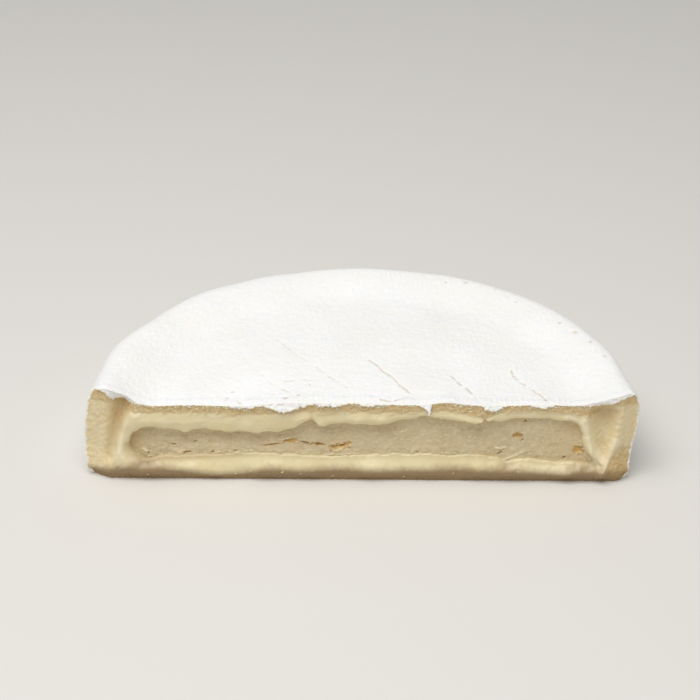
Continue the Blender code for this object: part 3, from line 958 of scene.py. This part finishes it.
def foot_spot(rng):
    """A spot low on the cut, mostly towards the left end."""
    x = FOOT_BITS_START - FOOT_BITS_RUN * rng.random() ** FOOT_BITS_LEAN
    z = rng.uniform(*FOOT_BITS_UP)
    return Vector((x, cut_relief(x, z, TOP_REACH), z))


def curd_spot(rng):
    """A spot on the heart's face."""
    x = rng.uniform(*CURD_BITS_ACROSS)
    low = line_height(HEART_BOTTOM, x)
    z = low + (line_height(HEART_TOP, x) - low) * rng.uniform(*CURD_BITS_UP)
    return Vector((x, heart_recess(x, z), z))


def seam_spot(rng):
    """A spot on the seam where the heart meets the cream below it, mostly towards the left end."""
    x = SEAM_BITS_RUN * rng.random() ** SEAM_BITS_LEAN - SEAM_BITS_START
    z = line_height(HEART_BOTTOM, x) + rng.gauss(SEAM_BITS_SPREAD, SEAM_BITS_SPREAD)
    return Vector((x, heart_recess(x, z), z))


class Signal:
    """One output of a node, with arithmetic that adds Math nodes."""

    def __init__(self, finish, socket):
        self.finish = finish
        self.socket = socket

    def math(self, operation, first, second=0.0):
        return self.finish.node("ShaderNodeMath", {"operation": operation}, {0: first, 1: second})

    def __add__(self, other):
        return self.math("ADD", self, other)

    def __radd__(self, other):
        return self.math("ADD", other, self)

    def __sub__(self, other):
        return self.math("SUBTRACT", self, other)

    def __rsub__(self, other):
        return self.math("SUBTRACT", other, self)

    def __mul__(self, other):
        return self.math("MULTIPLY", self, other)


class Finish:
    """A material with one Principled shader, built up node by node."""

    def __init__(self, name, **constants):
        self.material = bpy.data.materials.new(name)
        self.material.use_nodes = True
        self.tree = self.material.node_tree
        self.shader = self.tree.nodes["Principled BSDF"]
        for socket, value in constants.items():
            self.shader.inputs[socket.replace("_", " ")].default_value = value

    def glow(self, weight, depth, radii):
        """Let light spread under the surface."""
        inputs = self.shader.inputs
        inputs["Subsurface Weight"].default_value = weight
        inputs["Subsurface Scale"].default_value = depth
        inputs["Subsurface Radius"].default_value = radii

    def node(self, kind, settings=None, inputs=None, output=0):
        made = self.tree.nodes.new(kind)
        for name, value in (settings or {}).items():
            setattr(made, name, value)
        for name, value in (inputs or {}).items():
            self.plug(made.inputs[name], value)
        return Signal(self, made.outputs[output])

    def plug(self, socket, value):
        if isinstance(value, Signal):
            self.tree.links.new(value.socket, socket)
        else:
            socket.default_value = value

    def place(self):
        return self.node("ShaderNodeTexCoord", output="Object")

    def mask(self, name):
        return self.node("ShaderNodeAttribute", {"attribute_name": name}, output="Fac")

    def stretched(self, drag):
        """The place, squeezed along an axis, so that a pattern on it is drawn out that way."""
        settings = {"operation": "MULTIPLY"}
        return self.node("ShaderNodeVectorMath", settings, {0: self.place(), 1: drag})

    def noise(self, pitch, detail=2.0, rough=0.5, place=None):
        inputs = {"Vector": place or self.place(), "Scale": 1 / pitch}
        inputs.update({"Detail": detail, "Roughness": rough})
        return self.node("ShaderNodeTexNoise", None, inputs)

    def step(self, value, start, end):
        """0 where the value is under start, 1 over end, and smooth between them."""
        inputs = {"Value": value, "From Min": start, "From Max": end}
        return self.node("ShaderNodeMapRange", {"interpolation_type": "SMOOTHSTEP"}, inputs)

    def blend(self, share, first, second):
        inputs = {0: share, 6: first, 7: second}
        return self.node("ShaderNodeMix", {"data_type": "RGBA"}, inputs, output=2)

    def bump(self, height, depth, before=None):
        inputs = {"Height": height, "Distance": depth, "Strength": 1.0}
        if before:
            inputs["Normal"] = before
        return self.node("ShaderNodeBump", None, inputs)

    def give(self, colour=None, roughness=None, normal=None):
        for name, value in (("Base Color", colour), ("Roughness", roughness), ("Normal", normal)):
            if value is not None:
                self.plug(self.shader.inputs[name], value)
        return self.material


def paint(red, green, blue):
    """A colour given as 8-bit display values."""
    shares = [value / 255 for value in (red, green, blue)]
    return [s / 12.92 if s <= 0.04045 else ((s + 0.055) / 1.055) ** 2.4 for s in shares] + [1.0]


WHITE = paint(250, 249, 247)
WHITE_SHADE = paint(247, 245, 241)
THIN_BLOOM = paint(216, 194, 156)
FRINGE = paint(249, 238, 208)
TAN = paint(232, 209, 162)
TAN_DARK = paint(212, 180, 124)
TAN_PALE = paint(245, 231, 196)
CREAM = paint(232, 216, 171)
CREAM_PALE = paint(238, 225, 185)
SIDE = paint(235, 217, 175)
SEAM = paint(204, 182, 140)
# Pale cream for the painted highlights on the ridges and on the glossy patches
PAINTED_HIGHLIGHT = paint(246, 235, 202)
# The rind's crust at the foot, darkened with painted shade
FOOT_CRUST_AND_SHADE = paint(160, 134, 96)
# Painted shade in the hollows: a darker tan
HOLLOW_SHADE = paint(206, 174, 118)
AMBER = paint(224, 184, 104)
AMBER_DARK = paint(178, 134, 70)
CURD = paint(222, 204, 167)
CURD_DARK = paint(211, 191, 152)
CURD_PALE = paint(236, 221, 188)
CURD_DEEP = paint(194, 170, 126)
# Darker, yellower curd: ripening at the right end, painted shade at the left end
CURD_RIPE_AND_SHADE = paint(214, 188, 136)

# How far the knife draws out a pattern: under 1 is drawn out along that axis
KNIFE_DRAG = (0.22, 1.0, 1.0)
SMOOTH_DRAG = (1.0, 1.0, 0.35)
# Stretch of the painted highlight patches on the cream
HIGHLIGHT_DRAG = (0.55, 1.0, 1.0)

# Pitches of the patterns in the colours
BLOOM_CLOUDS = 0.020
BLOOM_TUFTS = 0.0007
BLOOM_SPECKS = 0.0022
BLOOM_PATCHES = 0.030
PASTE_FINE = 0.0006
PASTE_CRUMBS = 0.0016
PASTE_CLOUDS = 0.012
# Pitch of the painted highlight patches on the cream
PASTE_MOTTLE = 0.0034
PASTE_HIGHLIGHTS = 0.0042
PASTE_DRAWN = 0.0014
CURD_STREAKS = 0.0007
CURD_GRAIN = 0.0009
CURD_CLOUDS = 0.006
CURD_FLAWS = 0.0024
CURD_SEAM = 0.0014
CURD_LUMPS = 0.0035
PIT_CLOUDS = 0.0020
BIT_CLOUDS = 0.003

# How deep the finest relief of the finishes is
SOFT_BUMP = 0.00025
CURD_BUMP = 0.0002


def white_bloom(finish):
    """Colour and height of the mould: bright tufts, thinner in creases and small spots."""
    cloud = finish.noise(BLOOM_CLOUDS, 4)
    tufts = finish.noise(BLOOM_TUFTS, 3, 0.6)
    specks = finish.step(finish.noise(BLOOM_SPECKS, 3, 0.6), 0.68, 0.80)
    patch = finish.step(finish.noise(BLOOM_PATCHES, 2), 0.50, 0.66)
    mark = finish.step(finish.mask("mark") + (tufts - 0.5) * 0.5, 0.15, 0.65)
    colour = finish.blend(finish.step(cloud, 0.3, 0.7), WHITE_SHADE, WHITE)
    colour = finish.blend(mark * 0.6 + specks * patch * 0.35, colour, THIN_BLOOM)
    height = tufts * 0.6 + finish.noise(BLOOM_SPECKS, 3) * 1.5 - mark * 0.8
    return colour, height


def rind_finish():
    finish = Finish("white_rind", Roughness=0.85, Sheen_Weight=0.15)
    finish.glow(0.15, 0.0012, (1.0, 0.8, 0.6))
    colour, height = white_bloom(finish)
    return finish.give(colour=colour, normal=finish.bump(height, SOFT_BUMP))


def paste_finish():
    finish = Finish("ripe_cream")
    finish.glow(0.30, 0.0014, (1.0, 0.7, 0.35))
    white, white_height = white_bloom(finish)
    fine = finish.noise(PASTE_FINE, 3, 0.6)
    crumbs = finish.noise(PASTE_CRUMBS, 4, 0.65)
    clouds = finish.noise(PASTE_CLOUDS, 3)
    tan = finish.blend(finish.step(crumbs, 0.3, 0.7), TAN_DARK, TAN)
    tan = finish.blend(finish.step(fine, 0.60, 0.78) * 0.7, tan, TAN_PALE)
    cream = finish.blend(finish.step(clouds, 0.3, 0.7), CREAM, CREAM_PALE)
    cream = finish.blend(finish.mask("side") * finish.step(crumbs, 0.2, 0.7), cream, SIDE)
    mottle = finish.step(finish.noise(PASTE_MOTTLE, 4, 0.65), 0.46, 0.66)
    cream = finish.blend(finish.mask("side") * mottle * 0.55, cream, TAN)
    # Painted highlights: pale glossy patches on the cream, drawn out sideways
    highlight_noise = finish.noise(PASTE_HIGHLIGHTS, 4, 0.6, finish.stretched(HIGHLIGHT_DRAG))
    highlight_patches = finish.step(highlight_noise, 0.55, 0.72)
    cream = finish.blend(highlight_patches * 0.45, cream, PAINTED_HIGHLIGHT)
    crust = finish.step(finish.mask("crust") + (crumbs - 0.5) * 0.9, 0.20, 0.80)
    colour = finish.blend(crust, cream, tan)
    colour = finish.blend(finish.mask("seam") * 0.8, colour, SEAM)
    # Painted highlight along the cream ridges
    colour = finish.blend(finish.mask("ridge_highlight") * 0.7, colour, PAINTED_HIGHLIGHT)
    # Dark foot: the rind's crust, with painted shade near the floor
    foot = finish.step(finish.mask("foot") + (crumbs - 0.5) * 0.4, 0.0, 1.0)
    colour = finish.blend(foot, colour, FOOT_CRUST_AND_SHADE)
    # Painted shade in the groove, the fold and the rough corner
    colour = finish.blend(finish.mask("deep") * 0.8, colour, HOLLOW_SHADE)
    thin = finish.step(finish.mask("bloom") + (crumbs - 0.5) * 0.5, 0.45, 0.90)
    white = finish.blend(thin, FRINGE, white)
    ragged = finish.mask("bloom") + (crumbs - 0.5) * 0.5 + (fine - 0.5) * 0.4
    bloom = finish.step(ragged, 0.42, 0.58)
    colour = finish.blend(bloom, colour, white)
    rough = 0.34 + crust * 0.25 + bloom * 0.25
    drawn = finish.noise(PASTE_DRAWN, 3, 0.6, finish.stretched(SMOOTH_DRAG))
    rough_walls = finish.mask("side") * crumbs * 0.8
    bare = crumbs * crust * 1.3 + drawn * 0.5 + rough_walls
    height = bare * (1.0 - bloom) + white_height * bloom
    return finish.give(colour=colour, roughness=rough, normal=finish.bump(height, SOFT_BUMP))


def heart_finish():
    finish = Finish("chalky_curd")
    finish.glow(0.2, 0.0010, (1.0, 0.75, 0.45))
    streaks = finish.noise(CURD_STREAKS, 3, 0.6, finish.stretched(KNIFE_DRAG))
    grain = finish.noise(CURD_GRAIN, 4, 0.65)
    clouds = finish.noise(CURD_CLOUDS, 4, 0.6)
    curd = finish.blend(finish.step(clouds, 0.3, 0.7), CURD_DARK, CURD)
    curd = finish.blend(finish.step(grain, 0.55, 0.70) * 0.9, curd, CURD_PALE)
    flaws = finish.step(finish.noise(CURD_FLAWS, 3, 0.6), 0.62, 0.74)
    curd = finish.blend(flaws * 0.7, curd, CURD_DEEP)
    curd = finish.blend(finish.step(streaks, 0.50, 0.75) * 0.5, curd, CURD_PALE)
    curd = finish.blend(finish.step(streaks, 0.50, 0.25) * 0.35, curd, CURD_DEEP)
    # Ripening towards the right end, painted shade in the crescent at the left end
    curd = finish.blend(finish.mask("ends_ripe_and_shaded") * 0.6, curd, CURD_RIPE_AND_SHADE)
    rim = finish.step(finish.mask("rim") + (grain - 0.5) * 0.6, 0.3, 1.0)
    curd = finish.blend(rim * 0.7, curd, CREAM)
    seam = finish.step(finish.noise(CURD_SEAM, 3, 0.6), 0.56, 0.68)
    seam = seam * finish.step(finish.mask("rim"), 0.1, 0.6)
    curd = finish.blend(seam * 0.6, curd, AMBER)
    curd = finish.blend(finish.step(finish.mask("smear"), 0.25, 0.6), curd, CREAM_PALE)
    amber = finish.blend(finish.step(finish.noise(PIT_CLOUDS, 2), 0.45, 0.62), AMBER, AMBER_DARK)
    curd = finish.blend(finish.mask("pit"), curd, amber)
    height = grain + finish.noise(CURD_LUMPS, 3) * 0.6
    rough = 0.6 + grain * 0.15
    return finish.give(colour=curd, roughness=rough, normal=finish.bump(height, CURD_BUMP))


def put(thing, material, node, slot):
    thing.data.materials.append(material)
    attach(thing, "root")
    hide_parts(node)


def plain_finish(name, colour, roughness):
    finish = Finish(name, Roughness=roughness, Subsurface_Weight=0.2, Subsurface_Scale=0.001)
    return finish.give(colour=finish.blend(finish.noise(BIT_CLOUDS, 2), colour, CREAM))


def make_floor():
    bm = bmesh.new()
    bmesh.ops.create_grid(bm, x_segments=1, y_segments=1, size=2.0)
    floor = new_object("floor", mesh_from(bm, "floor"))
    finish = Finish("pale_floor", Roughness=0.9)
    floor.data.materials.append(finish.give(colour=paint(226, 223, 217)))


def add_area_light(name, place, size, power, target):
    light = bpy.data.lights.new(name, "AREA")
    light.shape = "RECTANGLE"
    light.size, light.size_y = size
    light.energy = power
    lamp = new_object(name, light)
    lamp.location = place
    lamp.rotation_euler = (Vector(target) - Vector(place)).to_track_quat("-Z", "Y").to_euler()


def make_lights():
    world = bpy.data.worlds.new("studio")
    bpy.context.scene.world = world
    world.use_nodes = True
    background = world.node_tree.nodes["Background"]
    background.inputs["Color"].default_value = (1.0, 1.0, 1.0, 1.0)
    background.inputs["Strength"].default_value = 0.35
    place = (-0.15, -0.30, 0.90)
    add_area_light("softbox", place, size=(0.8, 0.6), power=7.3, target=(0, 0, 0))


def make_camera():
    """The camera of the photograph, worked out from where the wheel's axis meets the floor."""
    tilt, turn = CAMERA_HEIGHT_ANGLE, CAMERA_TURN
    back = Vector((sin(turn) * cos(tilt), -cos(turn) * cos(tilt), sin(tilt)))
    right = Vector((cos(turn), sin(turn), 0))
    up = back.cross(right)
    aside = (AXIS_PIXEL[0] - PHOTO_SIZE / 2) / FOCAL_PIXELS * CAMERA_DISTANCE
    above = (AXIS_PIXEL[1] - PHOTO_SIZE / 2) / FOCAL_PIXELS * CAMERA_DISTANCE
    camera = bpy.data.cameras.new("camera")
    camera.sensor_width = SENSOR_WIDTH
    camera.lens = FOCAL_PIXELS * SENSOR_WIDTH / PHOTO_SIZE
    eye = new_object("camera", camera)
    place = Matrix.Translation(AXIS_PLACE + back * CAMERA_DISTANCE - right * aside + up * above)
    eye.matrix_world = place @ Matrix((right, up, back)).transposed().to_4x4()
    bpy.context.scene.camera = eye


# Each piece's node and slot
PASTE = ("paste", "ripened_paste")
HEART = ("heart", "firm_heart")

# Small bits: name, seed, count, spot, sizes, stretch, finish, colour, roughness, node and slot
BITS = (
    ("rind_crumbs", 3, 260, white_spot, (0.0002, 0.0007), (0.8, 1.8), "crumb_white", WHITE, 0.8, PASTE),
    ("crust_crumbs", 5, 260, tan_spot, (0.0002, 0.0006), (0.8, 1.8), "crumb_tan", TAN_PALE, 0.6, PASTE),
    ("foot_crumbs", 8, 12, foot_spot, (0.0003, 0.0006), (1.2, 3.0), "crumb_cream", TAN, 0.5, PASTE),
    ("curd_flecks", 11, 150, curd_spot, (0.0002, 0.00045), (1.5, 5.0), "fleck_pale", CURD_PALE, 0.5, HEART),
    ("seam_crumbs", 13, 90, seam_spot, (0.0003, 0.0008), (1.0, 3.0), "seam_cream", CREAM, 0.4, HEART),
)

bpy.context.scene.view_settings.view_transform = "Standard"
put(make_rind(), rind_finish(), *PASTE)
put(make_cut_side(), paste_finish(), *PASTE)
put(make_heart(), heart_finish(), *HEART)
for name, seed, count, spot, sizes, stretch, finish, colour, roughness, place in BITS:
    bits = scatter(name, seed, count, spot, sizes, stretch)
    put(bits, plain_finish(finish, colour, roughness), *place)
make_floor()
make_lights()
make_camera()
